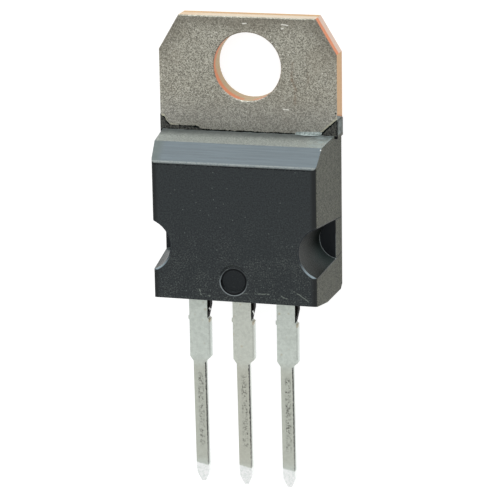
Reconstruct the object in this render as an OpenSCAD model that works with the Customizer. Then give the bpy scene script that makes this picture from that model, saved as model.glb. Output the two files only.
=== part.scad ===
// Thyristor in a flat plastic package with a screw tab and three leads.
// X runs across the leads, Y towards the top of the tab, Z from the mounting face to the front.
// The origin is the middle of the screw hole, on the mounting face. All sizes are in millimetres.

/* [Header] */
// Width of the metal tab
tab_w = 10.15; // [9.6:0.05:10.6]
// Thickness of the metal header, tab and pad alike
tab_t = 1.27; // [1.10:0.01:1.40]
// Height of the tab's top edge above the middle of the hole
tab_top = 2.80; // [2.5:0.05:3.2]
// Diameter of the screw hole
hole_d = 3.85; // [3.4:0.05:4.0]
// How much of the top edge each cut corner takes
corner_w = 1.17; // [0.4:0.01:1.8]
// How far each cut corner reaches down the side
corner_h = 1.96; // [0.8:0.01:2.3]
// Small bevel that stamping leaves round the front edges
edge_roll = 0.06; // [0.02:0.01:0.15]
// Drop from the middle of the hole to where the sides start to narrow
shoulder_drop = 2.85; // [2.4:0.05:3.1]
// Width of the pad that carries the chip
pad_w = 7.5; // [7.0:0.05:7.8]
// Depth of the step round the pad's back that the plastic grips
lock_step = 0.30; // [0.15:0.05:0.4]
// Height of that step above the mounting face
lock_h = 0.45; // [0.3:0.05:0.6]
// Width of the groove across the pad that stops damp
groove_w = 0.35; // [0.2:0.05:0.5]

/* [Moulding] */
// Width of the front face
face_w = 9.32; // [8.8:0.02:9.6]
// Height of the front face above the mounting face
mould_t = 4.50; // [4.3:0.05:4.8]
// Drop from the middle of the hole to the moulding's top, at the tab's front
mould_top = 3.67; // [3.4:0.01:3.9]
// Drop from the middle of the hole to the parting line at the bottom
mould_bottom = 12.81; // [12.5:0.01:13.2]
// Draft of the two long sides, in degrees
side_draft = 4.8; // [3:0.1:7]
// Draft of the top, in degrees
top_draft = 5.2; // [3:0.1:7]
// Draft of the bottom in front of the parting line, in degrees
front_draft = 7.4; // [4:0.1:9]
// Draft of the bottom behind the parting line, in degrees
back_draft = 2.4; // [1:0.1:5]
// How far down the face the slanted top bevel ends, from its upper edge
bevel_h = 0.95; // [0.6:0.01:1.2]
// How far the bevel lies back from the face at its upper edge
bevel_t = 1.03; // [0.6:0.01:1.2]
// Radius of the two long front edges
edge_r = 0.20; // [0.1:0.01:0.4]
// Size of the small bevel along the bottom's rear edge
toe = 0.25; // [0.1:0.01:0.4]
// How far the plastic's back lies behind the metal's mounting face
back_relief = 0.05; // [0.02:0.01:0.1]
// How far the plastic corner to the right of the tab stands out past it
ear_proud = 0.05; // [0:0.01:0.1]
// Length of those corners along the side
ear_l = 1.0; // [0.9:0.05:1.3]

/* [Side notches] */
// Radius of each half-round notch at the front face
notch_r = 1.50; // [1.2:0.01:1.7]
// How deep each notch cuts into the side of the front face
notch_depth = 1.00; // [0.6:0.01:1.1]
// Drop from the middle of the hole to the middle of the notches
notch_drop = 9.57; // [9.2:0.01:10.0]
// Height of the closed floor of each notch
notch_floor = 1.15; // [0.9:0.01:1.5]
// Slope of the notch wall, in degrees
notch_draft = 6.1; // [3:0.1:8]

/* [Round mark] */
// Diameter of the shallow round mark on the front
mark_d = 1.56; // [1.2:0.02:2.0]
// Depth of that mark
mark_depth = 0.10; // [0.05:0.01:0.2]
// Height of the mark's middle above the front face's lower edge
mark_up = 1.32; // [1.1:0.01:1.8]
// How far the mark lies to the left of the middle
mark_left = 0.07; // [0:0.01:0.3]

/* [Leads] */
// Distance between neighbouring leads
pitch = 2.54; // [2.4:0.01:2.6]
// Thickness of the leads
lead_t = 0.50; // [0.40:0.01:0.60]
// Height of the leads' back above the mounting face
lead_z = 2.43; // [2.30:0.01:2.60]
// Width of each lead where it leaves the moulding
root_w = 1.07; // [0.9:0.01:1.15]
// Width of each lead above its shoulder
wide_w = 1.20; // [1.18:0.01:1.4]
// Width of each lead below its shoulder
narrow_w = 0.70; // [0.60:0.01:0.80]
// How far to the left of the middle the narrow stretch leaves its shoulder
narrow_lean = 0.06; // [0:0.01:0.1]
// Length of each lead from the moulding to its point
lead_l = 11.10; // [9:0.05:14]
// Length of the wide stretch, from the moulding to the shoulder
wide_l = 3.60; // [3:0.05:4.5]
// Height of the slanted shoulder
shoulder_l = 0.27; // [0.15:0.01:0.4]
// Distance from the moulding to the scar of the cut-off tie bar
scar_drop = 1.16; // [0.9:0.01:1.5]
// How far that scar stands out from the lead's side
scar_proud = 0.06; // [0.02:0.01:0.1]
// Length of each slanted end of the scar
scar_end = 0.06; // [0.04:0.01:0.08]
// Length of the scar between its slanted ends
scar_l = 0.18; // [0.1:0.01:0.3]
// Length of the point, where front and back slant together
point_l = 1.00; // [0.6:0.05:1.4]
// Length of the end that is also narrowed from the sides
nose_l = 0.55; // [0.3:0.05:0.8]
// Width of the very end
nose_w = 0.24; // [0.15:0.01:0.35]
// Thickness of the very end
nose_t = 0.14; // [0.08:0.01:0.25]
// Width of the sliver of plastic left on each lead's right side
flash_w = 0.16; // [0.13:0.01:0.22]

/* [Inside] */
// Plastic between the pad's lower end and the bottom of the moulding
pad_cover = 1.50; // [1.4:0.05:1.7]
// Angle at which the middle lead climbs from the pad
neck_angle = 60; // [55:1:70]
// Width of the inner end of the outer leads
post_w = 1.90; // [1.6:0.05:2.1]
// Length of the inner end of the outer leads
post_l = 1.30; // [1.0:0.05:1.6]
// Plastic below those inner ends
post_cover = 0.90; // [0.7:0.05:1.1]
// Side of the square silicon chip
die_w = 4.00; // [3.2:0.05:4.4]
// Thickness of the chip
die_t = 0.35; // [0.25:0.01:0.45]
// Distance from the pad's lower end to the chip
die_up = 2.00; // [1.6:0.05:2.4]
// Thickness of the solder under the chip
solder_t = 0.05; // [0.03:0.01:0.1]
// How far the solder spreads past the chip
solder_rim = 0.15; // [0.05:0.01:0.3]
// Diameter of the two cathode wires
cathode_wire_d = 0.38; // [0.25:0.01:0.45]
// Diameter of the gate wire
gate_wire_d = 0.20; // [0.12:0.01:0.3]
// Distance between the two cathode wires at the lead
wire_gap = 0.80; // [0.7:0.05:1.0]
// How far the top of each wire's loop lies above its end on the lead
loop_rise = 0.35; // [0.2:0.01:0.5]

/* [Hidden] */
$fn = 96;
arc_steps = 6;
half_tab = tab_w / 2;
half_pad = pad_w / 2;
half_face = face_w / 2;
// the sides narrow from tab to pad at 45 degrees
pad_start = shoulder_drop + half_tab - half_pad;
pad_end = mould_bottom - pad_cover;
lead_front = lead_z + lead_t;
// the mould halves part in the middle of the leads' thickness
parting_z = lead_z + lead_t / 2;
face_bottom = mould_bottom - (mould_t - parting_z) * tan(front_draft);
heel_bottom = mould_bottom - (parting_z - back_relief) * tan(back_draft);
bevel_z = mould_t - bevel_t;
bevel_drop = mould_top + (bevel_z - tab_t) * tan(top_draft);
notch_x = half_face - notch_depth + notch_r;
notch_floor_r = notch_r - (mould_t - notch_floor) * tan(notch_draft);
point_drop = mould_bottom + lead_l;
scar = mould_bottom + scar_drop;
root_left = -wide_w / 2;
root_right = root_left + root_w;
// plastic keeps this hold on a lead or chip where one shape ends inside another
grip = 0.3;
die_y = -(pad_end - die_up - die_w / 2);
die_top = tab_t + solder_t + die_t;
post_bottom = mould_bottom - post_cover;
wire_post_y = -(post_bottom - post_l / 2);
reach = 2 * (tab_w + mould_t);

// half the width of the plastic at height z
function side_x(z) = half_face + (mould_t - z) * tan(side_draft);

// --- shared shapes ---

// a flat outline in Y and Z, given as (y, z), drawn w wide about x
module along_x(x, w) {
    translate([x - w / 2, 0, 0]) rotate([90, 0, 90]) linear_extrude(w) children();
}

// the ridge of a 45 degree bevel from point p to point q, at height z
module bevel_cut(p, q, z, size) {
    len = norm(q - p);
    translate([p[0], p[1], z]) rotate([0, 0, atan2(q[1] - p[1], q[0] - p[0])])
        translate([-size, 0, 0]) rotate([45, 0, 0])
            translate([0, -size / sqrt(2), -size / sqrt(2)])
                cube([len + 2 * size, size * sqrt(2), size * sqrt(2)]);
}

// --- leads ---

// seen from the front: inner end, root, scar, wide stretch, shoulder, narrow stretch and nose;
// inner holds the inner end's corners, from the right side round to the left
module lead_outline(inner) {
    half = wide_w / 2;
    thin = narrow_w / 2;
    shoulder = mould_bottom + wide_l;
    polygon(concat(inner, [
        [root_left, -scar], [-half - scar_proud, -scar - scar_end],
        [-half - scar_proud, -scar - scar_end - scar_l], [-half, -scar - 2 * scar_end - scar_l],
        [-half, -shoulder], [-thin - narrow_lean, -shoulder - shoulder_l],
        [-thin, -point_drop + nose_l], [-nose_w / 2, -point_drop],
        [nose_w / 2, -point_drop], [thin, -point_drop + nose_l],
        [thin - narrow_lean, -shoulder - shoulder_l], [half, -shoulder],
        [half, -scar - scar_end - scar_l], [root_right, -scar - 2 * scar_end]
    ]));
}

// seen from the side: a flat strip whose end slants together
function lead_tip() = [
    [-point_drop + point_l, lead_z], [-point_drop, parting_z - nose_t / 2],
    [-point_drop, parting_z + nose_t / 2], [-point_drop + point_l, lead_front]
];

module outer_lead(x) {
    post_top = post_bottom - post_l;
    post = [[root_right, -post_bottom], [post_w / 2, -post_bottom], [post_w / 2, -post_top],
            [-post_w / 2, -post_top], [-post_w / 2, -post_bottom], [root_left, -post_bottom]];
    intersection() {
        translate([x, 0, 0]) linear_extrude(reach) lead_outline(post);
        along_x(x, post_w + wide_w)
            polygon(concat([[-post_top, lead_z]], lead_tip(), [[-post_top, lead_front]]));
    }
}

module cathode_lead() color([0.75, 0.76, 0.75]) outer_lead(-pitch);

module gate_lead() color([0.75, 0.76, 0.75]) outer_lead(pitch);

// --- header: tab, pad and middle lead, stamped from one strip ---

module header_outline() {
    polygon([
        [half_tab - corner_w, tab_top], [half_tab, tab_top - corner_h],
        [half_tab, -shoulder_drop], [half_pad, -pad_start], [half_pad, -pad_end],
        [-half_pad, -pad_end], [-half_pad, -pad_start], [-half_tab, -shoulder_drop],
        [-half_tab, tab_top - corner_h], [-half_tab + corner_w, tab_top]
    ]);
}

// the middle lead from the side: it leaves the pad's front layer and climbs to the others
module anode_strip() {
    fold = lead_t * tan(neck_angle / 2);
    rise = lead_z - (tab_t - lead_t);
    low = pad_end + fold;
    high = low + rise / tan(neck_angle) - fold;
    polygon(concat(
        [[-pad_end + grip, tab_t - lead_t], [-low, tab_t - lead_t], [-high - fold, lead_z]],
        lead_tip(),
        [[-high, lead_front], [-low + fold, tab_t], [-pad_end + grip, tab_t]]
    ));
}

module anode_lead() {
    start = pad_end - grip;
    intersection() {
        linear_extrude(reach) lead_outline([[root_right, -start], [root_left, -start]]);
        along_x(0, 2 * wide_w) anode_strip();
    }
}

module tab_edge_bevels() {
    right = [[half_tab - corner_w, tab_top], [half_tab, tab_top - corner_h],
             [half_tab, -shoulder_drop]];
    bevel_cut(right[0], [-right[0][0], tab_top], tab_t, edge_roll);
    for (i = [0, 1], side = [1, -1])
        bevel_cut([side * right[i][0], right[i][1]], [side * right[i + 1][0], right[i + 1][1]],
                  tab_t, edge_roll);
    translate([0, 0, tab_t - edge_roll])
        cylinder(h = 2 * edge_roll, d1 = hole_d, d2 = hole_d + 4 * edge_roll);
}

// a step round the back of the pad, which plastic fills
module pad_lock() {
    length = pad_end - pad_start;
    for (side = [-1, 1])
        translate([side * half_pad - lock_step, -pad_end - lock_step, -lock_h])
            cube([2 * lock_step, length + lock_step, 2 * lock_h]);
    translate([-half_pad - lock_step, -pad_end - lock_step, -lock_h])
        cube([pad_w + 2 * lock_step, 2 * lock_step, 2 * lock_h]);
}

// a V-shaped groove across the pad's front
module damp_groove() {
    y = -pad_start - groove_w;
    along_x(0, reach)
        polygon([[y + groove_w, tab_t + groove_w / 2], [y, tab_t - groove_w / 2],
                 [y - groove_w, tab_t + groove_w / 2]]);
}

module heatsink_header() color([0.66, 0.63, 0.56]) {
    difference() {
        linear_extrude(tab_t) header_outline();
        translate([0, 0, -tab_t]) cylinder(h = 3 * tab_t, d = hole_d);
        tab_edge_bevels();
        pad_lock();
        damp_groove();
    }
    anode_lead();
}

// --- chip, solder and wires ---

module die_solder() color([0.70, 0.70, 0.72]) {
    side = die_w + 2 * solder_rim;
    translate([-side / 2, die_y - side / 2, tab_t]) cube([side, side, solder_t]);
}

module silicon_die() color([0.30, 0.32, 0.36])
    translate([-die_w / 2, die_y - die_w / 2, tab_t + solder_t]) cube([die_w, die_w, die_t]);

// one flattened end of a wire, pressed on at height z, s along the wire's run
module wire_foot(s, z, d) {
    foot_l = 2 * d;
    foot_w = 1.3 * d;
    translate([s - foot_l / 2, -foot_w / 2, z]) cube([foot_l, foot_w, 0.7 * d]);
}

// a wire of diameter d that loops from point a on the chip to point b on a lead
module bond_wire(a, b, d) {
    span = norm(b - a);
    top = lead_front + d / 2 + loop_rise;
    fall_a = top - die_top - d / 2;
    fall_b = loop_rise;
    diff = fall_a - fall_b;
    // the round arc through both ends with its top at that height
    s = (fall_a * span - sqrt(fall_a * fall_a * span * span
         - fall_a * diff * (span * span - fall_b * diff))) / diff;
    r = (s * s + fall_a * fall_a) / (2 * fall_a);
    end_a = atan2(r - fall_a, -s);
    end_b = atan2(r - fall_b, span - s);
    translate([a[0], a[1], 0]) rotate([0, 0, atan2(b[1] - a[1], b[0] - a[0])]) {
        translate([s, 0, top - r]) rotate([90, 0, 0]) rotate([0, 0, end_b])
            rotate_extrude(angle = end_a - end_b) translate([r, 0]) circle(d = d);
        wire_foot(0, die_top, d);
        wire_foot(span, lead_front, d);
    }
}

// the two cathode wires start a quarter of the chip left of its middle
module cathode_wire(offset) {
    bond_wire([-die_w / 4 + offset, die_y - die_w / 8], [-pitch + offset, wire_post_y],
              cathode_wire_d);
}

module cathode_wire_outer() color([0.82, 0.83, 0.84]) cathode_wire(-wire_gap / 2);

module cathode_wire_inner() color([0.82, 0.83, 0.84]) cathode_wire(wire_gap / 2);

module gate_wire() color([0.82, 0.83, 0.84])
    bond_wire([die_w * 3 / 8, die_y - die_w * 3 / 8], [pitch, wire_post_y], gate_wire_d);

// --- moulding ---

// seen along the leads: drafted sides, with the long front edges rounded
module mould_section() {
    turn = 90 - side_draft;
    // the round edge's centre, inside both the face and the side
    cx = side_x(mould_t - edge_r) - edge_r / cos(side_draft);
    cz = mould_t - edge_r;
    arc = [for (i = [0:arc_steps]) let (a = side_draft + turn * i / arc_steps)
           [cx + edge_r * cos(a), cz + edge_r * sin(a)]];
    right = concat([[side_x(back_relief), back_relief]], arc);
    left = [for (i = [len(right) - 1:-1:0]) [-right[i][0], right[i][1]]];
    polygon(concat(right, left));
}

// seen from the side: drafted top with its bevel, and a bottom that bulges at the parting line
module mould_profile() {
    polygon([
        [-mould_top + (tab_t - back_relief) * tan(top_draft), back_relief],
        [-bevel_drop, bevel_z], [-bevel_drop - bevel_h, mould_t],
        [-face_bottom, mould_t], [-mould_bottom, parting_z],
        [-heel_bottom, back_relief + toe], [-heel_bottom + toe, back_relief]
    ]);
}

module mould_block() {
    intersection() {
        rotate([90, 0, 0]) linear_extrude(mould_bottom + tab_w) mould_section();
        along_x(0, reach) mould_profile();
    }
}

// plastic that fills the corners where the header narrows from tab to pad
module ears() {
    translate([-half_tab, -shoulder_drop - ear_l, back_relief])
        cube([tab_w + ear_proud, ear_l, tab_t - back_relief]);
}

module side_notches() {
    over = mould_t - notch_floor;
    for (side = [-1, 1])
        translate([side * notch_x, -notch_drop, notch_floor])
            cylinder(h = 2 * over, r1 = notch_floor_r, r2 = 2 * notch_r - notch_floor_r);
}

module round_mark() {
    translate([-mark_left, mark_up - face_bottom, mould_t - mark_depth])
        cylinder(h = 2 * mark_depth, d1 = mark_d - mark_depth, d2 = mark_d + mark_depth);
}

// slivers of plastic that ran down the leads as far as the tie bar
module root_flash() {
    for (i = [-1:1])
        translate([i * pitch, 0, lead_z]) linear_extrude(lead_t)
            polygon([[root_right, grip - mould_bottom],
                     [root_right + flash_w, grip - mould_bottom],
                     [root_right + flash_w, -mould_bottom - scar_drop / 2],
                     [root_right, -scar - 2 * scar_end]]);
}

module moulded_body() color([0.20, 0.21, 0.22]) difference() {
    union() {
        mould_block();
        ears();
        root_flash();
    }
    side_notches();
    round_mark();
    heatsink_header();
    cathode_lead();
    gate_lead();
    silicon_die();
    die_solder();
    cathode_wire_outer();
    cathode_wire_inner();
    gate_wire();
}

moulded_body();
heatsink_header();
cathode_lead();
gate_lead();
silicon_die();
die_solder();
cathode_wire_outer();
cathode_wire_inner();
gate_wire();
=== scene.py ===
# %% [markdown]
# # A thyristor in its screw-tab package
#
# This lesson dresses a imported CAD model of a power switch: a black moulded
# block, a bored metal tab and three flat tinned leads. The construction is
# done already, in real sizes, so the work here is surfaces, worn edges and
# the thin trim that moulding and stamping leave behind.

# %% Load the frame
import math

import bmesh
import bpy
from mathutils import Matrix, Vector


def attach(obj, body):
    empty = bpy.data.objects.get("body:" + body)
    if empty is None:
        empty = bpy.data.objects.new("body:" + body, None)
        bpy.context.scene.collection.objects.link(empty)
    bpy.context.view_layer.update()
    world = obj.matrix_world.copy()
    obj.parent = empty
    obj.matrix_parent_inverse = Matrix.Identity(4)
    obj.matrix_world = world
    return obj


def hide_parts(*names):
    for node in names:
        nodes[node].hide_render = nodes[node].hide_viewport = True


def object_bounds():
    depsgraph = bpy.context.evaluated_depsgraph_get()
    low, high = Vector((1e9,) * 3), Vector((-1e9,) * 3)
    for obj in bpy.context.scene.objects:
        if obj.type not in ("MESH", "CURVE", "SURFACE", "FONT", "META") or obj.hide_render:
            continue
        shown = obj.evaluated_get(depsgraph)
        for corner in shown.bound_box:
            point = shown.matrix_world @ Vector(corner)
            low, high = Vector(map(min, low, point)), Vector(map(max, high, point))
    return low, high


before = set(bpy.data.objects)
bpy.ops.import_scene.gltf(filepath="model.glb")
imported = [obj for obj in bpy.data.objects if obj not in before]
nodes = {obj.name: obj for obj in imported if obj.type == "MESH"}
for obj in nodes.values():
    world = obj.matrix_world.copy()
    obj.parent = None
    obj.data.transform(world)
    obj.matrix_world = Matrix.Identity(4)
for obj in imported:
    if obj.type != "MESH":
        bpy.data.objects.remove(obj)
cad_low, cad_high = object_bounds()
MM = 0.001
print("CAD box in mm:", [round(v / MM, 2) for v in (*cad_low, *cad_high)])

# %% [markdown]
# ## A small vocabulary for materials
#
# Every finish here is a node tree, and most of them start the same way: make
# a node, fill a few of its sockets, join it to the last one. A helper that
# does this in a single line keeps the recipes readable. A socket is filled
# with a number or a colour to hold, or with another node's output. Sums on
# masks get short names, and work in whichever tree their values come from.

# %% Helpers that make and join nodes
def fill(socket, value):
    """Joins another node's output to the socket, or sets a number or a colour on it."""
    if isinstance(value, bpy.types.NodeSocket):
        socket.id_data.links.new(value, socket)
    else:
        socket.default_value = value


def add(tree, kind, inputs=None, **settings):
    """A node of that kind, with its settings, and its sockets filled."""
    node = tree.nodes.new("ShaderNode" + kind)
    for name, value in settings.items():
        setattr(node, name, value)
    for name, value in (inputs or {}).items():
        fill(node.inputs[name], value)
    return node


def use(tree, group, **inputs):
    """The outputs of a group that is placed in a tree with this place's own values."""
    node = add(tree, "Group", node_tree=group)
    for name, value in inputs.items():
        fill(node.inputs[name.replace("_", " ")], value)
    return node.outputs


def wire(surface, **inputs):
    """Fills the surface's sockets."""
    for name, value in inputs.items():
        fill(surface.inputs[name.replace("_", " ")], value)


def new_group(name, inputs, outputs):
    """An empty node group, the sockets that bring its values in and those that take its results."""
    tree = bpy.data.node_groups.new(name, "ShaderNodeTree")
    for label, (kind, value) in inputs.items():
        socket = tree.interface.new_socket(label, in_out="INPUT", socket_type="NodeSocket" + kind)
        socket.default_value = value
    for label, kind in outputs.items():
        tree.interface.new_socket(label, in_out="OUTPUT", socket_type="NodeSocket" + kind)
    return tree, tree.nodes.new("NodeGroupInput").outputs, tree.nodes.new("NodeGroupOutput").inputs


def new_material(name):
    """A material with a Principled BSDF that goes to its output."""
    material = bpy.data.materials.new(name)
    material.use_nodes = True
    tree = material.node_tree
    tree.nodes.clear()
    surface = add(tree, "BsdfPrincipled")
    add(tree, "OutputMaterial", {"Surface": surface.outputs["BSDF"]})
    return material, tree, surface

# %% Helpers that reckon with numbers
def tree_of(*values):
    """The node tree that the first socket among the values belongs to."""
    return next(v for v in values if isinstance(v, bpy.types.NodeSocket)).id_data


def calc(operation, a, b=0.0, clamp=False):
    """The result of one sum on two values."""
    return add(tree_of(a, b), "Math", {0: a, 1: b}, operation=operation, use_clamp=clamp).outputs[0]


def times(first, *others):
    """The values multiplied."""
    for value in others:
        first = calc("MULTIPLY", first, value)
    return first


def most(first, *others):
    """The highest of the values."""
    for value in others:
        first = calc("MAXIMUM", first, value)
    return first


def plus(a, b):
    """The two values added."""
    return calc("ADD", a, b)


def minus(a, b):
    """The second value taken from the first."""
    return calc("SUBTRACT", a, b)


def size_of(value):
    """The value without its sign."""
    return calc("ABSOLUTE", value)


def ramp(value, low, high, bottom=0.0, top=1.0):
    """value from low to high becomes bottom to top, smoothly and no further."""
    return add(value.id_data, "MapRange", {"Value": value, "From Min": low, "From Max": high,
                                           "To Min": bottom, "To Max": top},
               interpolation_type="SMOOTHSTEP").outputs["Result"]


def ramp_line(value, low, high, bottom, top, stop):
    """As ramp, but straight, and going on past both ends unless it is told to stop there."""
    return add(value.id_data, "MapRange", {"Value": value, "From Min": low, "From Max": high,
                                           "To Min": bottom, "To Max": top}, clamp=stop).outputs["Result"]


def within(value, low, high, soft):
    """A mask of 1 where value lies between low and high, with soft ends."""
    return times(ramp(value, low - soft, low), ramp(value, high + soft, high))


def blend_value(factor, first, second):
    """From the first number to the second as factor goes from 0 to 1."""
    return add(factor.id_data, "Mix", {0: factor, 2: first, 3: second}, data_type="FLOAT").outputs[0]

# %% Helpers that reckon with colours and places
def blend(factor, first, second):
    """Two colours mixed: a factor of 0 gives the first."""
    return add(factor.id_data, "Mix", {0: factor, 6: first, 7: second}, data_type="RGBA",
               clamp_factor=True).outputs[2]


def grey(value):
    """A colour without a hue."""
    return (value, value, value, 1.0)


def vector(operation, a, b=(0, 0, 0), result="Vector"):
    """The result of one sum on two vectors, or on a vector and a number to scale it by."""
    second = "Scale" if operation == "SCALE" else 1
    return add(tree_of(a, b), "VectorMath", {0: a, second: b}, operation=operation).outputs[result]


def xyz(whole):
    """The three parts of a vector."""
    return add(whole.id_data, "SeparateXYZ", {0: whole}).outputs


def millimetres(tree):
    """The place on the object, in millimetres."""
    return vector("SCALE", add(tree, "TexCoord").outputs["Object"], 1 / MM)


def place_and_facing(tree):
    """The place in millimetres and the way the surface faces, each as x, y and z."""
    return xyz(millimetres(tree)), xyz(add(tree, "NewGeometry").outputs["True Normal"])


def shaken(place, scale, detail, amount):
    """A place moved about by noise, which tears the edge of what is drawn there."""
    noise = add(place.id_data, "TexNoise", {"Vector": place, "Scale": scale, "Detail": detail})
    shift = vector("SUBTRACT", noise.outputs["Color"], (0.5, 0.5, 0.5))
    return vector("ADD", place, vector("SCALE", shift, amount))

# %% [markdown]
# ## Effects that several finishes share
#
# Four effects come back on nearly every surface of a part this small: a fine
# grain, scattered specks, a soft patch where something was spilt or rubbed,
# and a broken line such as a scratch. Each is a node group, built once and
# placed with its own values. They put out masks and heights and leave the
# colours to the materials.

# %% Fine grain
grain_group, given, result = new_group(
    "fine grain", {"Size": ("Float", 0.1), "Roughness": ("Float", 0.6)},
    {"Grain": "Float", "Cells": "Float"})
place = millimetres(grain_group)
per_mm = calc("DIVIDE", 1.0, given["Size"])
noise = add(grain_group, "TexNoise", {"Vector": place, "Scale": per_mm, "Detail": 4.0,
                                      "Roughness": given["Roughness"]})
cells = add(grain_group, "TexVoronoi", {"Vector": place, "Scale": per_mm})
single = add(grain_group, "SeparateColor", {"Color": cells.outputs["Color"]})
fill(result["Grain"], noise.outputs["Fac"])
fill(result["Cells"], single.outputs["Red"])

# %% Scattered specks
speck_group, given, result = new_group(
    "specks", {"Spacing": ("Float", 0.2), "Radius": ("Float", 0.2), "Share": ("Float", 0.3)},
    {"Mask": "Float"})
dots = add(speck_group, "TexVoronoi", {"Vector": millimetres(speck_group),
                                       "Scale": calc("DIVIDE", 1.0, given["Spacing"])})
pick = add(speck_group, "SeparateColor", {"Color": dots.outputs["Color"]}).outputs
chosen = calc("LESS_THAN", pick["Green"], given["Share"])
near = calc("SUBTRACT", 1.0, calc("DIVIDE", dots.outputs["Distance"], given["Radius"]), clamp=True)
strong = times(near, plus(pick["Blue"], 0.4))
fill(result["Mask"], calc("MULTIPLY", strong, chosen, clamp=True))

# %% Soft-edged patch
patch_group, given, result = new_group(
    "patch", {"Centre": ("Vector", (0, 0, 0)), "Half": ("Vector", (1, 1, 1)),
              "Softness": ("Float", 0.1), "Ragged": ("Float", 0.0), "Ragged Size": ("Float", 0.3)},
    {"Mask": "Float"})
place = shaken(millimetres(patch_group), calc("DIVIDE", 1.0, given["Ragged Size"]), 3.0, given["Ragged"])
away = vector("ABSOLUTE", vector("SUBTRACT", place, given["Centre"]))
depth = xyz(vector("SUBTRACT", given["Half"], away))
inside = calc("MINIMUM", depth[0], calc("MINIMUM", depth[1], depth[2]))
fill(result["Mask"], calc("DIVIDE", inside, given["Softness"], clamp=True))

# %% Broken line
line_group, given, result = new_group(
    "broken line", {"Start": ("Vector", (0, 0, 0)), "End": ("Vector", (1, 0, 0)),
                    "Width": ("Float", 0.05), "Gaps": ("Float", 0.4), "Waver": ("Float", 0.05)},
    {"Mask": "Float"})
place = shaken(millimetres(line_group), 6.0, 2.0, given["Waver"])
span = vector("SUBTRACT", given["End"], given["Start"])
out_to = vector("SUBTRACT", place, given["Start"])
along = calc("DIVIDE", vector("DOT_PRODUCT", out_to, span, "Value"),
             vector("DOT_PRODUCT", span, span, "Value"), clamp=True)
miss = vector("DISTANCE", out_to, vector("SCALE", span, along), "Value")
core = calc("SUBTRACT", 1.0, calc("DIVIDE", miss, given["Width"]), clamp=True)
breaks = add(line_group, "TexNoise", {"Vector": place, "Scale": 9.0, "Detail": 3.0}).outputs["Fac"]
kept = ramp(breaks, given["Gaps"], plus(given["Gaps"], 0.08))
fill(result["Mask"], calc("MULTIPLY", core, kept, clamp=True))
print("node groups:", [g.name for g in bpy.data.node_groups])

# %% [markdown]
# ## The moulded block
#
# Black epoxy comes out of a spark-eroded mould with a fine matt grain, apart
# from the slanted bevel at the top, which the mould maker leaves smoother.
# The block's own colour is nearly black. Much of the paler look of its sides
# comes from the light that a dull plastic throws back at a flat angle, which
# is left to the roughness, and the rest is painted on as dust and painted
# sheen. The top face is painted paler where the lamp beyond the tab lights it,
# and the bevel paler as a painted reflection. Handling leaves pale specks,
# more of them near the leads.
#
# All of it is one material on one solid. Which recipe a point gets follows
# from where it lies and which way its surface faces.

# %% Where on the block a point lies
FRONT, TAB_FRONT, LEAD_FRONT = round(cad_high[2] / MM, 3), 1.27, 2.90
NOTCH_X, NOTCH_Y, NOTCH_FLOOR = 5.16, -9.57, 1.15
FLOOR_R, FRONT_R = 1.142, 1.50
MARK_X, MARK_Y, MARK_R = -0.07, -11.44, 0.78
BEVEL_Y, BEVEL_Z, BEVEL_FACING = -3.870, 3.470, Vector((1.03, 0.95)).normalized()
# the top end, the foot of the bevel, the bottom end, and where the front turns to the side
TOP_Y, BEVEL_FOOT_Y, BOTTOM_Y, TURN_X = -3.90, -4.90, -12.78, 4.58


def parts_of_the_block(tree, at, facing):
    """Masks for the block's bevel, top, drafted sides and notches, and two distances."""
    off_bevel = plus(times(minus(at[1], BEVEL_Y), BEVEL_FACING.x),
                     times(minus(at[2], BEVEL_Z), BEVEL_FACING.y))
    bevel = times(ramp(size_of(off_bevel), 0.06, 0.03), ramp(facing[2], 0.4, 0.5))
    top = times(ramp(facing[1], 0.85, 0.95), ramp(at[1], TOP_Y - 0.1, TOP_Y))
    # the notches are cones about two upright axes, one on each side
    out_x = minus(size_of(at[0]), NOTCH_X)
    out_y = minus(at[1], NOTCH_Y)
    from_axis = calc("SQRT", plus(times(out_x, out_x), times(out_y, out_y)))
    off_wall = minus(from_axis, ramp_line(at[2], NOTCH_FLOOR, FRONT, FLOOR_R, FRONT_R, stop=False))
    notch = times(ramp(off_wall, 0.06, 0.03), calc("GREATER_THAN", at[2], NOTCH_FLOOR - 0.02))
    edgewise = times(ramp(size_of(facing[2]), 0.6, 0.4), ramp(size_of(off_wall), 0.01, 0.05))
    from_mark = vector("DISTANCE", millimetres(tree), (MARK_X, MARK_Y, FRONT), "Value")
    off_mark = ramp(from_mark, MARK_R + 0.15, MARK_R + 0.2)
    side = times(edgewise, off_mark, minus(1.0, notch))
    return bevel, top, side, notch, from_mark, from_axis

# %% Moulded epoxy: the tone of each part
moulding, tree, surface = new_material("moulding")
at, facing = place_and_facing(tree)
on_bevel, on_top, on_side, in_notch, from_mark, from_notch = parts_of_the_block(tree, at, facing)
grain = use(tree, grain_group, Size=0.085, Roughness=0.9)["Grain"]
grit = use(tree, grain_group, Size=0.06, Roughness=0.7)["Cells"]
cloud = use(tree, grain_group, Size=1.1, Roughness=0.6)["Grain"]
blotch = use(tree, grain_group, Size=0.30, Roughness=0.7)["Grain"]
fine = ramp(grain, 0.38, 0.62)
# the front is mottled, and worn paler towards the leads
body_colour = blend(fine, (0.0, 0.002, 0.005, 1), (0.022, 0.031, 0.032, 1))
worn = times(ramp(plus(grain, times(cloud, 0.25)), 0.66, 0.78), ramp(at[1], -6.5, -12.5))
body_colour = blend(worn, body_colour, (0.10, 0.115, 0.105, 1))
# the sides are painted paler with dust and painted sheen, and paler again below the parting line, where they
# face down
dust_and_sheen = times(ramp(plus(grain, times(grit, 0.4)), 0.45, 0.95), on_side)
side_colour = blend(dust_and_sheen, (0.016, 0.018, 0.010, 1), (0.125, 0.130, 0.098, 1))
below = times(ramp(facing[2], -0.01, -0.05), ramp(size_of(facing[0]), 0.9, 0.95))
side_colour = blend(below, side_colour, (0.26, 0.265, 0.22, 1))
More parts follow.
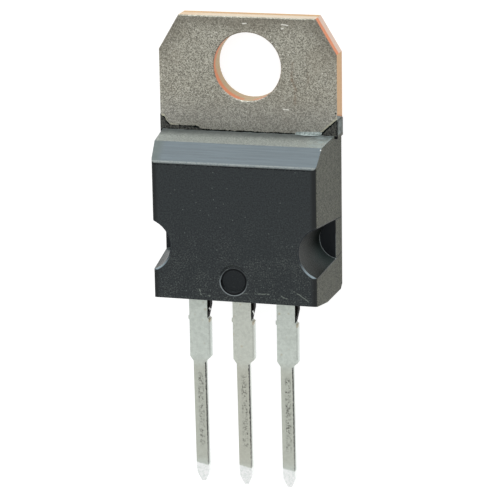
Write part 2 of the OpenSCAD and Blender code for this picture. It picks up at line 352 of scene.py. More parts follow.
# the top is painted paler as the lamp beyond the tab lights it: dark next to the tab, pale in blotches
# towards the front, and lighter near its right end
top_colour = blend(fine, (0.150, 0.165, 0.150, 1), (0.360, 0.380, 0.345, 1))
lit_towards_front = ramp(plus(at[2], blotch), 2.0, 3.2, 0.1, 1.0)
top_colour = blend(lit_towards_front, (0.060, 0.070, 0.066, 1), top_colour)
lighter_right_end = times(ramp(at[0], 3.4, 4.6, 0.0, 0.6), ramp(blotch, 0.35, 0.65))
top_colour = blend(lighter_right_end, top_colour, (0.30, 0.37, 0.37, 1))

# %% Moulded epoxy: notches and bevel
# a notch is black, with a painted lit foot on the wall that faces the lamp, and a blue-black floor
notch_colour = blend(fine, (0.0, 0.001, 0.0, 1), (0.004, 0.010, 0.006, 1))
lit_notch_foot = times(ramp(at[1], -9.5, -10.4), ramp(at[2], 3.6, 1.8), ramp(facing[2], 0.9, 0.7))
notch_colour = blend(lit_notch_foot, notch_colour, (0.030, 0.044, 0.042, 1))
on_notch_floor = ramp(facing[2], 0.7, 0.9)
notch_colour = blend(on_notch_floor, notch_colour, (0.002, 0.005, 0.008, 1))
# the bevel is painted paler as a painted reflection of the lamp, streaked along its length, with a painted
# highlight line at its foot
stretched = add(tree, "Mapping", {"Vector": millimetres(tree), "Scale": (0.35, 9.0, 9.0)}).outputs[0]
streaks = add(tree, "TexNoise", {"Vector": stretched, "Scale": 1.0, "Detail": 3.0}).outputs["Fac"]
bevel_colour = blend(ramp(streaks, 0.3, 0.7), (0.044, 0.070, 0.082, 1), (0.082, 0.114, 0.130, 1))
bevel_colour = blend(ramp(at[0], -4.0, -4.5), bevel_colour, (0.050, 0.074, 0.068, 1))
bevel_foot_highlight = times(ramp(at[1], BEVEL_FOOT_Y + 0.17, BEVEL_FOOT_Y + 0.13), ramp(grit, 0.1, 0.5, 0.3, 0.8))
bevel_colour = blend(bevel_foot_highlight, bevel_colour, (0.20, 0.22, 0.21, 1))
print("the block's tones take", len(tree.nodes), "nodes")

# %% Moulded epoxy: specks and scratches on the front
few = use(tree, speck_group, Spacing=0.22, Radius=0.20, Share=0.14)["Mask"]
many = use(tree, speck_group, Spacing=0.12, Radius=0.32, Share=0.25)["Mask"]
specks = most(few, times(many, ramp(at[1], -8.5, -12.5)))
body_colour = blend(times(specks, 0.9), body_colour, (0.16, 0.19, 0.175, 1))
# where each starts and ends in x and y, how wide it is, and how broken
SCRATCHES = [((0.45, -12.05), (1.15, -12.04), 0.05, 0.50), ((1.20, -12.03), (1.95, -12.02), 0.05, 0.44),
             ((2.65, -12.09), (3.05, -12.25), 0.04, 0.40), ((3.20, -11.68), (3.66, -11.94), 0.05, 0.50),
             ((3.70, -11.96), (4.15, -12.27), 0.04, 0.30), ((-1.85, -10.95), (-2.02, -12.05), 0.05, 0.58),
             ((-2.05, -11.95), (-1.90, -12.35), 0.06, 0.50), ((-1.75, -12.20), (-1.30, -12.35), 0.05, 0.52)]
for start, end, width, gaps in SCRATCHES:
    scratch = use(tree, line_group, Start=(*start, FRONT), End=(*end, FRONT), Width=width, Gaps=gaps)["Mask"]
    body_colour = blend(times(scratch, 0.8), body_colour, (0.20, 0.23, 0.20, 1))
print(len(SCRATCHES), "scratches cross the front")

# %% Moulded epoxy: the front's borders and its round mark
# the front is darker in a narrow band before it turns to the side
band = times(ramp(plus(size_of(at[0]), times(fine, 0.08)), TURN_X - 0.28, TURN_X), 0.8)
body_colour = blend(band, body_colour, (0.0015, 0.003, 0.003, 1))
# and painted shade along the foot of the bevel, where its edge is ragged
ragged_y = plus(at[1], times(minus(grit, 0.5), 0.10))
shade_under_bevel = times(ramp(ragged_y, BEVEL_FOOT_Y - 0.08, BEVEL_FOOT_Y), 0.9)
body_colour = blend(shade_under_bevel, body_colour, (0.0015, 0.002, 0.004, 1))
# the round mark is darker inside, with painted shade at its wall and a painted highlight on its rim that is
# brightest below
in_mark = ramp(from_mark, MARK_R, MARK_R - 0.05)
body_colour = blend(times(in_mark, 0.85), body_colour, (0.0, 0.003, 0.005, 1))
rim_light = ramp(plus(at[1], times(at[0], 0.5)), MARK_Y + 0.6, MARK_Y - 0.6, 0.12, 1.0)
rim = times(within(from_mark, MARK_R - 0.02, MARK_R + 0.01, 0.02), rim_light,
            ramp(cloud, 0.30, 0.5, 0.4, 1.0))
body_colour = blend(times(rim, 0.9), body_colour, (0.22, 0.25, 0.26, 1))
well = times(within(from_mark, MARK_R - 0.12, MARK_R - 0.05, 0.02), 0.95)
body_colour = blend(well, body_colour, (0.0, 0.001, 0.002, 1))

# %% Moulded epoxy: the other parts laid over the front
for mask, colour in ((on_side, side_colour), (in_notch, notch_colour), (on_top, top_colour),
                     (on_bevel, bevel_colour)):
    body_colour = blend(mask, body_colour, colour)
# a light thread where the wall of a notch meets its floor
on_wall = times(in_notch, ramp(size_of(facing[2]), 0.6, 0.4))
thread = times(on_wall, ramp(plus(at[2], times(grain, 0.06)), NOTCH_FLOOR + 0.10, NOTCH_FLOOR + 0.05),
               ramp(at[1], -9.15, -9.45))
body_colour = blend(thread, body_colour, (0.42, 0.48, 0.48, 1))
# a painted highlight on the lower rim of each notch
notch_rim = times(ramp(at[2], FRONT - 0.09, FRONT - 0.06),
                  within(from_notch, FRONT_R - 0.01, FRONT_R + 0.06, 0.03))
notch_rim_highlight = times(notch_rim, ramp(at[1], -10.0, -10.9, 0.02, 0.85), ramp(at[1], -11.0, -10.93))
body_colour = blend(notch_rim_highlight, body_colour, (0.30, 0.38, 0.42, 1))
# the small ears beside the tab are pale and blotched, and the right one has a dark slit beside it
EAR_Y, EAR_Z = -3.75, 1.5
ear = times(on_side, ramp(at[1], EAR_Y, EAR_Y + 0.15), ramp(at[2], EAR_Z, EAR_Z - 0.2))
ear_colour = blend(ramp(blotch, 0.40, 0.60), (0.075, 0.083, 0.075, 1), (0.20, 0.235, 0.225, 1))
body_colour = blend(ear, body_colour, ear_colour)
slit = use(tree, line_group, Start=(5.1, -3.50, 1.80), End=(5.1, -3.82, 1.85), Width=0.12, Gaps=0.0)["Mask"]
slit = calc("MULTIPLY", slit, 2.0, clamp=True)
body_colour = blend(slit, body_colour, (0.0, 0.001, 0.002, 1))
# the ends of the top catch the light
top_end = times(ramp(at[1], TOP_Y - 0.05, TOP_Y + 0.10), within(size_of(facing[0]), 0.15, 0.97, 0.03),
                ramp(grit, 0.15, 0.4))
body_colour = blend(top_end, body_colour, (0.48, 0.60, 0.58, 1))
# a painted glint: a white dot near the right end of the top
painted_glint_dot = use(tree, patch_group, Centre=(4.74, -3.93, 3.60), Half=(0.07, 0.07, 0.07), Softness=0.03)["Mask"]
body_colour = blend(painted_glint_dot, body_colour, (0.85, 0.86, 0.82, 1))

# %% Moulded epoxy: dark joints and the slivers beside the leads
# a dark gap where the block meets the tab
joint = times(on_top, ramp(plus(at[2], times(blotch, 0.3)), 1.53, 1.43), ramp(size_of(at[0]), 5.06, 5.04))
body_colour = blend(joint, body_colour, (0.004, 0.005, 0.004, 1))
# the slivers are black below the block's end, with a glint on two of them
sliver = times(ramp(at[1], BOTTOM_Y, BOTTOM_Y - 0.06), ramp(at[2], LEAD_FRONT + 0.10, LEAD_FRONT + 0.05))
body_colour = blend(sliver, body_colour, (0.002, 0.002, 0.001, 1))
GLINTS = (((-1.93, -13.53, 2.92), (-1.96, -13.72, 2.55)), ((0.59, -13.55, 2.92), (0.54, -13.82, 2.50)))
for start, end in GLINTS:
    glint = use(tree, line_group, Start=start, End=end, Width=0.07, Gaps=0.1)["Mask"]
    body_colour = blend(calc("MULTIPLY", glint, 1.6, clamp=True), body_colour, (0.85, 0.86, 0.84, 1))
print("with its marks it has", len(tree.nodes), "nodes")

# %% [markdown]
# A black colour alone doesn't make a crack black, because the plastic's sheen
# lies on top of it. In a real crack, a groove or the bottom of a hollow, that
# sheen has nothing to mirror. A black metal has no sheen apart from its
# colour, so the Metallic value is raised there as painted shade. A small
# share of it also dims the front, a little more towards the leads.

# %% Moulded epoxy: sheen and relief
smooth = most(on_bevel, in_notch)
rough = blend_value(smooth, ramp(grain, 0.2, 0.8, 0.55, 0.75), ramp(streaks, 0.2, 0.8, 0.32, 0.42))
height = times(grain, minus(minus(1.0, times(on_bevel, 0.85)), times(in_notch, 0.5)))
bump = add(tree, "Bump", {"Height": height, "Distance": 0.03 * MM, "Strength": 1.0})
on_front = times(minus(1.0, on_bevel), minus(1.0, on_side))
dull = ramp(at[1], -7.0, -12.0, 0.07, 0.14)
notch_dark = blend_value(on_notch_floor, ramp(lit_notch_foot, 0.0, 1.0, 0.38, 0.20), 0.42)
unlit = most(times(most(times(shade_under_bevel, 0.75), dull, times(band, 0.30)), on_front),
             times(well, 0.7), times(in_mark, 0.28), joint, times(sliver, 0.9),
             times(in_notch, notch_dark), slit)
lit = most(thread, notch_rim_highlight, rim)
unlit = times(unlit, calc("SUBTRACT", 1.0, lit, clamp=True))
wire(surface, Base_Color=body_colour, Roughness=rough, Metallic=unlit, Normal=bump.outputs[0],
     Specular_IOR_Level=0.5)
print("the whole block takes", len(tree.nodes), "nodes")

# %% [markdown]
# ## The nickel-plated header
#
# The header is stamped from copper strip that was plated on both faces first,
# so its faces are frosted nickel and its sheared edges are bare copper. A
# shear leaves two bands: a burnished one next to the face where the punch
# came in, and a paler broken one below it. A face is told from an edge by
# which way it points, which works for the screw hole as well.

# %% Frosted nickel
header_metal, tree, surface = new_material("header")
at, facing = place_and_facing(tree)
fine = use(tree, grain_group, Size=0.045, Roughness=0.8)
broad = use(tree, grain_group, Size=2.2, Roughness=0.6)["Grain"]
jagged = use(tree, grain_group, Size=0.22, Roughness=0.8)["Grain"]
sparkle = plus(times(fine["Cells"], 0.55), times(fine["Grain"], 0.45))
nickel = blend(ramp(sparkle, 0.15, 0.85), (0.165, 0.158, 0.130, 1), (0.59, 0.575, 0.49, 1))
# near-white specks are painted glints of the frosted grain
glint_specks = use(tree, speck_group, Spacing=0.11, Radius=0.42, Share=0.14)["Mask"]
nickel = blend(times(glint_specks, 0.9), nickel, (0.95, 0.94, 0.86, 1))
nickel = blend(times(ramp(broad, 0.45, 0.7), 0.25), nickel, (0.27, 0.235, 0.18, 1))
# cooler near the block and darker towards the top corners
nickel = blend(ramp(at[1], -1.2, -3.2, 0.0, 0.30), nickel, grey(0.335))
top_shade = use(tree, patch_group, Centre=(0, 2.6, 1.2), Half=(6.0, 0.75, 1.0), Softness=0.9,
                Ragged=0.5, Ragged_Size=1.2)["Mask"]
corner_shade = ramp(plus(size_of(at[0]), at[1]), 4.6, 6.6)
nickel = blend(times(most(top_shade, corner_shade), 0.58), nickel, (0.150, 0.135, 0.105, 1))

# %% Stains, bright nicks and a pit
# where each starts and ends in x and y, how wide it is, and how broken
STAINS = [((2.61, 0.30), (2.52, -0.64), 0.13, 0.38), ((2.55, -0.64), (2.77, -1.15), 0.10, 0.35),
          ((2.77, -1.15), (2.71, -1.95), 0.13, 0.38), ((3.45, -0.2), (3.50, -1.2), 0.08, 0.50)]
NICKS = [((1.98, 2.20), (2.10, 2.22)), ((2.02, 2.44), (2.35, 2.40)), ((2.05, -2.30), (2.35, -2.32)),
         ((-0.2, 2.42), (0.0, 2.43))]
for start, end, width, gaps in STAINS:
    stain = use(tree, line_group, Start=(*start, TAB_FRONT), End=(*end, TAB_FRONT), Width=width, Gaps=gaps,
                Waver=0.2)["Mask"]
    nickel = blend(times(stain, 0.45), nickel, (0.19, 0.115, 0.065, 1))
for start, end in NICKS:
    nick = use(tree, line_group, Start=(*start, TAB_FRONT), End=(*end, TAB_FRONT), Width=0.05, Gaps=0.3)
    nickel = blend(nick["Mask"], nickel, (0.98, 0.97, 0.90, 1))
pit = use(tree, patch_group, Centre=(5.0, -2.42, TAB_FRONT), Half=(0.06, 0.05, 0.2), Softness=0.03)["Mask"]
nickel = blend(pit, nickel, (0.01, 0.01, 0.008, 1))
print(len(STAINS), "stains and", len(NICKS), "nicks on the tab")

# %% The seam with the block
# along the block it is level, and at each end it rises round the film of resin that lies there
SEAM_Y = -3.67
slope = minus(at[0], 4.18)
seam_y = calc("MAXIMUM", SEAM_Y, plus(-3.60, times(slope, 0.88)))
left_slope = minus(-4.62, at[0])
left_y = calc("MINIMUM", -3.00, plus(-3.48, times(left_slope, 2.2)))
seam_y = most(seam_y, left_y, ramp(at[0], -2.6, -3.0, SEAM_Y, -3.50))
above_seam = plus(minus(at[1], seam_y), times(minus(jagged, 0.5), 0.25))
# a pale hem lies outside the dark ragged line, strongest at the films
pale_hem = times(ramp(above_seam, 0.22, 0.08), ramp(most(slope, left_slope), -0.8, 0.1, 0.12, 0.85))
nickel = blend(pale_hem, nickel, (0.54, 0.53, 0.41, 1))
nickel = blend(ramp(above_seam, 0.075, 0.035), nickel, (0.006, 0.010, 0.010, 1))
print("the nickel faces take", len(tree.nodes), "nodes")

# %% Bare copper at the sheared edges
HOLE_R = 1.925
is_edge = ramp(size_of(facing[2]), 0.5, 0.3)
from_axis = calc("SQRT", plus(times(at[0], at[0]), times(at[1], at[1])))
in_hole = ramp(from_axis, HOLE_R + 0.175, HOLE_R + 0.075)
not_in_hole = minus(1.0, in_hole)
on_corner = ramp(calc("MINIMUM", size_of(facing[0]), size_of(facing[1])), 0.15, 0.25)
on_end = ramp(facing[1], 0.9, 0.97)
on_right = ramp(facing[0], 0.9, 0.97)
wavy_z = plus(at[2], times(jagged, 0.12))
copper = blend(ramp(jagged, 0.35, 0.65), (0.58, 0.37, 0.185, 1), (0.63, 0.42, 0.235, 1))
copper = blend(in_hole, copper, (0.54, 0.43, 0.27, 1))
copper = blend(times(on_corner, not_in_hole), copper, (0.70, 0.56, 0.47, 1))
# the end is ivory above and golden below, warmer to the left
ivory = blend(ramp(wavy_z, 0.35, 0.75), (0.60, 0.39, 0.19, 1), (0.73, 0.65, 0.52, 1))
ivory = blend(ramp(at[0], -4.4, -1.5, 0.6, 0.0), ivory, (0.70, 0.50, 0.29, 1))
copper = blend(times(on_end, not_in_hole), copper, ivory)
# the burnished band shows red on the cut corners and on the left of the hole
burnt_hole = times(in_hole, ramp(at[0], -1.2, -1.9), ramp(wavy_z, 0.86, 1.0))
burnish = most(burnt_hole, times(on_corner, ramp(wavy_z, 0.72, 0.82)))
copper = blend(burnish, copper, (0.72, 0.27, 0.13, 1))
copper = blend(times(fine["Grain"], 0.2), copper, (0.45, 0.24, 0.12, 1))
# a dark hairline where the plating was cut, along the two long edges
cut_line = times(ramp(at[2], 1.17, 1.20), ramp(size_of(facing[0]), 0.9, 0.97), 0.6)
copper = blend(cut_line, copper, (0.10, 0.08, 0.05, 1))

# %% A skin of resin on the right edge
# it runs up the edge from the ear, as far as a torn slanting line with a rusty border
torn_y = plus(minus(at[1], times(at[2], 0.244)), times(minus(jagged, 0.5), 0.10))
copper = blend(times(ramp(torn_y, -2.72, -2.80), on_right), copper, (0.50, 0.25, 0.12, 1))
skin_colour = blend(ramp(jagged, 0.42, 0.58), (0.12, 0.135, 0.125, 1), (0.22, 0.255, 0.24, 1))
copper = blend(times(ramp(torn_y, -2.82, -2.85), on_right), copper, skin_colour)
header_colour = blend(is_edge, nickel, copper)
bump = add(tree, "Bump", {"Height": fine["Cells"], "Distance": 0.010 * MM, "Strength": 0.7})
wire(surface, Metallic=1.0, Roughness=ramp(fine["Grain"], 0.3, 0.7, 0.42, 0.62), Normal=bump.outputs[0])
print("with its edges the header has", len(tree.nodes), "nodes")

# %% [markdown]
# ## Tinned leads
#
# The leads are dipped or plated with tin after moulding, which turns matt and
# slightly mottled. Test sockets and trays rub dull marks into the narrow
# part, and the punch leaves a dark broken burr along one edge. The sides and
# the cut ends are painted bright, as painted reflection. All three leads share
# one recipe, and the marks are placed from each lead's own middle, so that
# they differ only where the noise differs.

# %% A recipe for matt tin
PITCH, LEAN, SHOULDER_Y, LEAD_END = 2.54, 0.06, -16.68, -23.36
WIDE_HALF, NARROW_HALF = 0.63, 0.335


def worn_tin(tree, at, across, tone, grain):
    """Tin with its tarnish, brown spots and the scar of the cut web; tone is the clean colour."""
    dimmed = (*(part * 0.88 for part in tone[:3]), 1.0)
    colour = blend(ramp(grain, 0.35, 0.65), dimmed, tone)
    tarnish = times(within(at[1], -22.2, -17.2, 0.9), 0.45)
    colour = blend(tarnish, colour, (0.46, 0.45, 0.37, 1))
    spots = use(tree, speck_group, Spacing=0.34, Radius=0.30, Share=0.22)["Mask"]
    above_shoulder = ramp(at[1], -16.4, -15.8)
    colour = blend(times(spots, above_shoulder, 0.55), colour, (0.42, 0.33, 0.18, 1))
    scar = times(within(at[1], -14.30, -13.90, 0.08), ramp(size_of(across), WIDE_HALF - 0.07, WIDE_HALF))
    return blend(times(scar, 0.7), colour, (0.40, 0.32, 0.18, 1))


def tin_colour(tree, at, facing, tone):
    """Worn tin with its rub marks and burr, and painted reflection on its sides and tip."""
    grain = use(tree, grain_group, Size=0.22, Roughness=0.75)["Grain"]
    # the nearest lead's middle, by rounding x to whole pitches, and its lean below the shoulder
    middle = times(calc("ROUND", calc("DIVIDE", at[0], PITCH)), PITCH)
    across = plus(minus(at[0], middle), ramp_line(at[1], LEAD_END, SHOULDER_Y, 0.0, LEAN, stop=True))
    colour = worn_tin(tree, at, across, tone, grain)
    # dull marks that a socket rubbed into the narrow stretch
    rub = use(tree, grain_group, Size=0.13, Roughness=0.85)["Grain"]
    rubbed = times(ramp(rub, 0.50, 0.57), ramp(grain, 0.35, 0.6, 0.4, 1.0),
                   within(across, -0.06, 0.16, 0.10), within(at[1], -21.4, -17.6, 0.5))
    colour = blend(times(rubbed, 0.85), colour, (0.055, 0.050, 0.042, 1))
    # a black serrated burr along the right edge, half of it on the side, and a faint one higher up
    teeth = use(tree, grain_group, Size=0.10, Roughness=0.9)["Grain"]
    jag = times(minus(teeth, 0.5), 0.20)
    shaken_x = plus(across, jag)
    on_front = ramp(at[2], LEAD_FRONT - 0.04, LEAD_FRONT)
    at_edge = times(on_front, ramp(shaken_x, NARROW_HALF - 0.017, NARROW_HALF))
    on_right = times(ramp(facing[0], 0.5, 0.7), ramp(plus(at[2], jag), LEAD_FRONT - 0.20, LEAD_FRONT - 0.16))
    bites = times(ramp(teeth, 0.38, 0.46), ramp(at[1], -22.6, -20.5, 0.6, 1.0))
    burr = times(most(at_edge, on_right), bites, within(at[1], -22.8, SHOULDER_Y - 0.05, 0.06))
    faint = times(ramp(shaken_x, WIDE_HALF - 0.07, WIDE_HALF - 0.03), on_front,
                  within(at[1], -16.2, -14.4, 0.1))
    colour = blend(times(faint, 0.18), colour, (0.10, 0.11, 0.10, 1))
    # the sides are painted brighter, more towards the back, and so is the cut end: both are painted
    # reflection
    flank_reflection = times(ramp(size_of(facing[0]), 0.6, 0.8),
                  ramp(at[2], LEAD_FRONT - 0.15, LEAD_FRONT - 0.35, 0.2, 0.8))
    colour = blend(flank_reflection, colour, (0.86, 0.90, 0.88, 1))
    colour = blend(burr, colour, (0.012, 0.012, 0.010, 1))
    tip_y = plus(plus(at[1], times(rub, 0.35)), times(across, 0.25))
    tip_reflection_colour = blend(ramp(rub, 0.35, 0.6), (0.80, 0.85, 0.82, 1), grey(1.0))
    return blend(ramp(tip_y, -22.56, -22.68), colour, tip_reflection_colour)

# %% Tin for the outer leads
TIN, WARM_TIN = (0.655, 0.705, 0.655, 1.0), (0.655, 0.685, 0.62, 1.0)
lead_tin, lead_tree, lead_surface = new_material("lead tin")
grain = use(lead_tree, grain_group, Size=0.12, Roughness=0.7)["Grain"]
bump = add(lead_tree, "Bump", {"Height": grain, "Distance": 0.01 * MM, "Strength": 0.5})
wire(lead_surface, Base_Color=tin_colour(lead_tree, *place_and_facing(lead_tree), TIN), Metallic=1.0,
     Roughness=ramp(grain, 0.3, 0.7, 0.5, 0.66), Normal=bump.outputs[0])
print("the tin takes", len(lead_tree.nodes), "nodes")

# %% The middle lead is part of the header, so the header carries tin below the block
tin_start = ramp(at[1], -12.0, -12.2)
tinned = tin_colour(tree, at, facing, WARM_TIN)
wire(surface, Base_Color=blend(tin_start, header_colour, tinned))
print("materials so far:", [m.name for m in bpy.data.materials])

# %% [markdown]
# ## The sealed pieces
#
# Nobody sees the chip, its solder or its wires until the part is cut open,
# but a cutaway picture will want them, so each gets its own simple finish.

# %% Silicon, solder and bond wire
def plain_metal(name, dark, light, rough, size):
    """A metal that varies between two colours over a fine grain."""
    material, tree, surface = new_material(name)
    grain = use(tree, grain_group, Size=size, Roughness=0.6)["Grain"]
    wire(surface, Base_Color=blend(grain, dark, light), Metallic=1.0,
         Roughness=ramp(grain, 0.2, 0.8, rough - 0.08, rough + 0.08))
    return material


silicon = plain_metal("silicon", (0.06, 0.07, 0.09, 1), (0.12, 0.13, 0.16, 1), 0.15, 0.4)
solder = plain_metal("solder", (0.34, 0.34, 0.36, 1), (0.52, 0.52, 0.54, 1), 0.45, 0.2)
bond_wire = plain_metal("bond wire", (0.68, 0.69, 0.71, 1), (0.82, 0.83, 0.85, 1), 0.3, 0.1)

# %% Each solid gets its finish
FINISHES = {
    "moulded_body": moulding, "heatsink_header": header_metal, "cathode_lead": lead_tin,
    "gate_lead": lead_tin, "silicon_die": silicon, "die_solder": solder,
    "cathode_wire_outer": bond_wire, "cathode_wire_inner": bond_wire, "gate_wire": bond_wire}
for name, material in FINISHES.items():
    nodes[name].data.materials.clear()
    nodes[name].data.materials.append(material)
print(len(FINISHES), "solids have their finish")

# %% [markdown]
# ## Softer edges
#
# No moulded or plated edge is a knife edge, and the thin line of light that a
# rounded edge catches is what makes a small part look solid. The frame's
# meshes are left alone. Instead a merged copy gets a narrow bevel on the
# edges that show, and it then stands for the node. Its normals are worked
# out face by face: a flat face keeps its own, the wall of a notch gets those
# of a true cone, and the bevel's strips run from one to the next.

# %% A helper that finishes a piece
def finish_piece(name, bm, material, normals=None):
    """Turns a bmesh into a piece of the object, riding on its only body."""
    if normals is None:
        bmesh.ops.recalc_face_normals(bm, faces=bm.faces)
    mesh = bpy.data.meshes.new(name)
    bm.to_mesh(mesh)
    bm.free()
    if normals is not None:
        mesh.shade_smooth()
        mesh.normals_split_custom_set(normals)
    piece = bpy.data.objects.new(name, mesh)
    bpy.context.scene.collection.objects.link(piece)
    mesh.materials.append(material)
    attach(piece, "root")
    print(name, "has", len(mesh.polygons), "faces")
    return piece

# %% True normals
def cone_normal(face, point):
    """The normal of a notch's wall at a point in mm, or None where the face isn't on that wall."""
    side = math.copysign(1.0, point.x)
    inward = Vector((side * NOTCH_X - point.x, NOTCH_Y - point.y, 0.0))
    slope = (FRONT_R - FLOOR_R) / (FRONT - NOTCH_FLOOR)
    normal = (inward.normalized() + Vector((0.0, 0.0, slope))).normalized()
    radius = FLOOR_R + slope * (point.z - NOTCH_FLOOR)
    near = abs(inward.length - radius) < 0.06 and point.z > NOTCH_FLOOR - 0.01
    return normal if near and normal.dot(face.normal) > 0.94 else None


def corner_normals(bm, strips):
    """One normal a corner: flat or cone faces keep theirs, and the bevel strips run between them."""
    def own(face, vert):
        return cone_normal(face, vert.co / MM) or face.normal

    normals = []
    for face in bm.faces:
        for loop in face.loops:
            if face not in strips:
                normals.append(own(face, loop.vert))
                continue
            beside = {f for e in face.edges if loop.vert in e.verts for f in e.link_faces} - strips
            found = [own(f, loop.vert) for f in beside] or [f.normal for f in loop.vert.link_faces]
            normals.append(sum(found, Vector()).normalized())
    return normals

# %% A rounded copy of a node
MERGE, FLAT, SHARP = 1e-7, math.radians(0.5), math.radians(30)


def rounded_copy(node, width, shows):
    """Bevels, width mm wide, the sharp edges of a copy for which shows(middle in mm) is true."""
    bm = bmesh.new()
    bm.from_mesh(nodes[node].data)
    bmesh.ops.remove_doubles(bm, verts=bm.verts, dist=MERGE)
    bmesh.ops.dissolve_limit(bm, angle_limit=FLAT, verts=bm.verts, edges=bm.edges)
    chosen = [e for e in bm.edges if e.is_convex and e.calc_face_angle(0) > SHARP
              and shows((e.verts[0].co + e.verts[1].co) / 2 / MM)]
    made = bmesh.ops.bevel(bm, geom=chosen, offset=width * MM, offset_type="OFFSET", segments=3,
                           profile=0.5, affect="EDGES", clamp_overlap=True, material=-1)
    bm.normal_update()
    normals = corner_normals(bm, set(made["faces"]))
    piece = finish_piece(node + "_rounded", bm, FINISHES[node], normals)
    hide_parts(node)
    print("  rounded", len(chosen), "edges of", node)

# %% Round the block and the two outer leads
def on_the_outside(p):
    """True for the block's edges in front of the tab, but not at the mark, the leads or inside."""
    sealed = abs(p.x) < 3.6 and -12.3 < p.y < -4.0 and p.z < 4.2
    mark = math.hypot(p.x - MARK_X, p.y - MARK_Y) < MARK_R + 0.1
    beside_leads = p.y < -12.5 and p.z < 3.2
    return p.z > 1.10 and not sealed and not mark and not beside_leads


def below_the_block(p):
    """True for a lead's edges that stand clear of the block."""
    return p.y < -12.9


rounded_copy("moulded_body", 0.05, on_the_outside)
for lead in ("cathode_lead", "gate_lead"):
    rounded_copy(lead, 0.025, below_the_block)

# %% [markdown]
# ## Thin trim: films and a flake of resin
#
# Where the mould closes on the tab, a little epoxy creeps out as a film a few
# hundredths of a millimetre thick, with a torn edge. A film is a flat outline
# that gets its thickness by an extrusion. Every corner of the torn edge is
# listed, because a tear has no rule that a formula could follow.

# %% A plate of any outline
def plate(outline, bottom, top):
    """A bmesh plate over that outline, in millimetres, from one height to another."""
    bm = bmesh.new()
    face = bm.faces.new([bm.verts.new((x * MM, y * MM, bottom * MM)) for x, y in outline])
    raised = bmesh.ops.extrude_face_region(bm, geom=[face])["geom"]
    bmesh.ops.translate(bm, verts=[v for v in raised if isinstance(v, bmesh.types.BMVert)],
                        vec=(0, 0, (top - bottom) * MM))
    return bm

# %% Resin films on the tab
resin, tree, surface = new_material("thin resin")
grain = use(tree, grain_group, Size=0.10, Roughness=0.8)["Grain"]
film_colour = blend(ramp(grain, 0.40, 0.60), (0.001, 0.003, 0.003, 1), (0.095, 0.095, 0.083, 1))
wire(surface, Base_Color=film_colour, Roughness=ramp(grain, 0.3, 0.7, 0.4, 0.65), Specular_IOR_Level=0.25)
FILM_THICK = 0.03
FILMS = {
    "resin_film_left": [
        (-5.06, -3.70), (-5.06, -2.94), (-4.97, -2.96), (-4.90, -3.06), (-4.80, -3.11), (-4.74, -3.24),
        (-4.69, -3.38), (-4.60, -3.44), (-4.48, -3.43), (-4.34, -3.49), (-4.12, -3.46), (-3.92, -3.51),
        (-3.70, -3.48), (-3.45, -3.52), (-3.20, -3.50), (-3.00, -3.55), (-2.80, -3.58), (-2.60, -3.69)],
    "resin_film_right": [
        (5.06, -3.70), (4.20, -3.70), (4.34, -3.54), (4.42, -3.50), (4.46, -3.38), (4.58, -3.33),
        (4.62, -3.24), (4.72, -3.20), (4.80, -3.08), (4.90, -3.04), (4.98, -2.92), (5.06, -2.88)]}
for name, outline in FILMS.items():
    finish_piece(name, plate(outline, TAB_FRONT, TAB_FRONT + FILM_THICK), resin)

# %% A pale flake at the joint
flake_resin, tree, surface = new_material("pale flake")
grain = use(tree, grain_group, Size=0.10, Roughness=0.7)["Grain"]
flake_colour = blend(ramp(grain, 0.4, 0.6), (0.20, 0.24, 0.23, 1), (0.50, 0.56, 0.54, 1))
wire(surface, Base_Color=flake_colour, Roughness=ramp(grain, 0.3, 0.7, 0.3, 0.5))
JOINT_Y = -3.655
flake = plate([(2.69, -3.68), (2.80, -3.535), (3.10, -3.52), (3.36, -3.51), (3.70, -3.50), (4.05, -3.48),
               (4.25, -3.52), (4.20, -3.62), (4.14, -3.68), (3.98, -3.74), (3.83, -3.77), (3.60, -3.785),
               (3.36, -3.77), (3.10, -3.75), (2.89, -3.72)], TAB_FRONT + 0.01, TAB_FRONT + 0.04)
bmesh.ops.bisect_plane(flake, geom=flake.verts[:] + flake.edges[:] + flake.faces[:],
                       plane_co=(0, JOINT_Y * MM, 0), plane_no=(0, 1, 0))
# past the joint the flake turns up and follows the block's top
STEEPNESS, TOP_DRAFT = 2.4, 0.05
for v in flake.verts:
    past = JOINT_Y * MM - v.co.y
    if past > 0:
        v.co.z += STEEPNESS * past
        v.co.y = JOINT_Y * MM - TOP_DRAFT * past
finish_piece("resin_flake", flake, flake_resin)

# %% [markdown]
# ## Floor, light and camera
#
# The part lies on its back, as it would on a bench, and the camera looks down
# on it. A broad lamp beyond the tab lights the bevel and the top edges, and
# the world fills the rest evenly. The floor shows white to the camera and to
# reflections, and still catches the soft shadow.

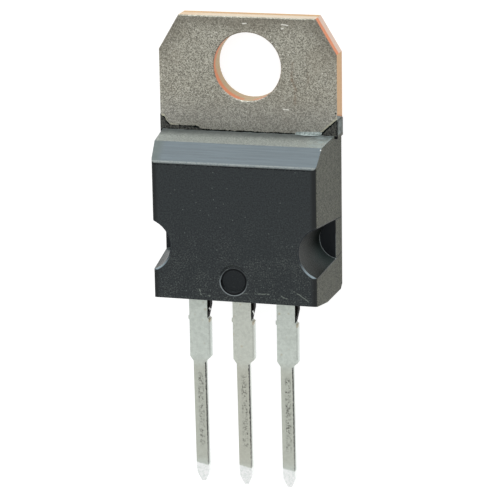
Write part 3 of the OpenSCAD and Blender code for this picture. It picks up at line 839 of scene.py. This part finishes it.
# %% Floor
bm = bmesh.new()
bmesh.ops.create_grid(bm, x_segments=1, y_segments=1, size=3.0)
floor_mesh = bpy.data.meshes.new("floor")
bm.to_mesh(floor_mesh)
bm.free()
floor = bpy.data.objects.new("floor", floor_mesh)
bpy.context.scene.collection.objects.link(floor)
white = bpy.data.materials.new("white floor")
white.use_nodes = True
tree = white.node_tree
tree.nodes.clear()
ray = add(tree, "LightPath").outputs
seen = most(ray["Is Camera Ray"], ray["Is Glossy Ray"], ray["Is Transmission Ray"])
paper = add(tree, "BsdfDiffuse", {"Color": grey(0.8)})
faint_paper = add(tree, "BsdfDiffuse", {"Color": grey(0.30)})
glow = add(tree, "Emission", {"Color": grey(1.0), "Strength": 0.85})
bright = add(tree, "AddShader", {0: faint_paper.outputs[0], 1: glow.outputs[0]})
either = add(tree, "MixShader", {0: seen, 1: paper.outputs[0], 2: bright.outputs[0]})
add(tree, "OutputMaterial", {"Surface": either.outputs[0]})
floor_mesh.materials.append(white)

# %% World
world = bpy.data.worlds.new("studio")
bpy.context.scene.world = world
world.use_nodes = True
tree = world.node_tree
tree.nodes.clear()
ray = add(tree, "LightPath").outputs
room = add(tree, "Background", {"Color": grey(1.0), "Strength": 0.86})
backdrop = add(tree, "Background", {"Color": grey(1.0), "Strength": 1.0})
sky = add(tree, "MixShader", {0: ray["Is Camera Ray"], 1: room.outputs[0], 2: backdrop.outputs[0]})
add(tree, "OutputWorld", {"Surface": sky.outputs[0]})

# %% Lamp
AIM, LAMP_AT = Vector((0, -0.008, 0)), Vector((-0.08, 0.44, 0.11))
lamp_data = bpy.data.lights.new("key", "AREA")
lamp_data.size, lamp_data.energy, lamp_data.color = 0.34, 1.6, (0.92, 0.97, 1.0)
lamp = bpy.data.objects.new("key", lamp_data)
bpy.context.scene.collection.objects.link(lamp)
lamp.location = LAMP_AT
lamp.rotation_euler = (AIM - LAMP_AT).to_track_quat("-Z", "Y").to_euler()
print("the lamp is", round((LAMP_AT - AIM).length / MM), "mm from the part")

# %% Camera
CAMERA_AT = Vector((37.598, 28.399, 136.706)) * MM
RIGHT, UP = Vector((0.96460, -0.01552, -0.26326)), Vector((-0.05575, 0.96371, -0.26108))
camera_data = bpy.data.cameras.new("camera")
camera_data.lens, camera_data.sensor_width = 186.88, 36.0
camera_data.clip_start, camera_data.clip_end = 0.005, 20.0
camera = bpy.data.objects.new("camera", camera_data)
bpy.context.scene.collection.objects.link(camera)
turn = Matrix((RIGHT, UP, RIGHT.cross(UP))).transposed().to_4x4()
camera.matrix_world = Matrix.Translation(CAMERA_AT) @ turn
bpy.context.scene.camera = camera
bpy.context.scene.view_settings.view_transform = "Standard"
print("the camera is", round((CAMERA_AT - AIM).length / MM), "mm from the part")
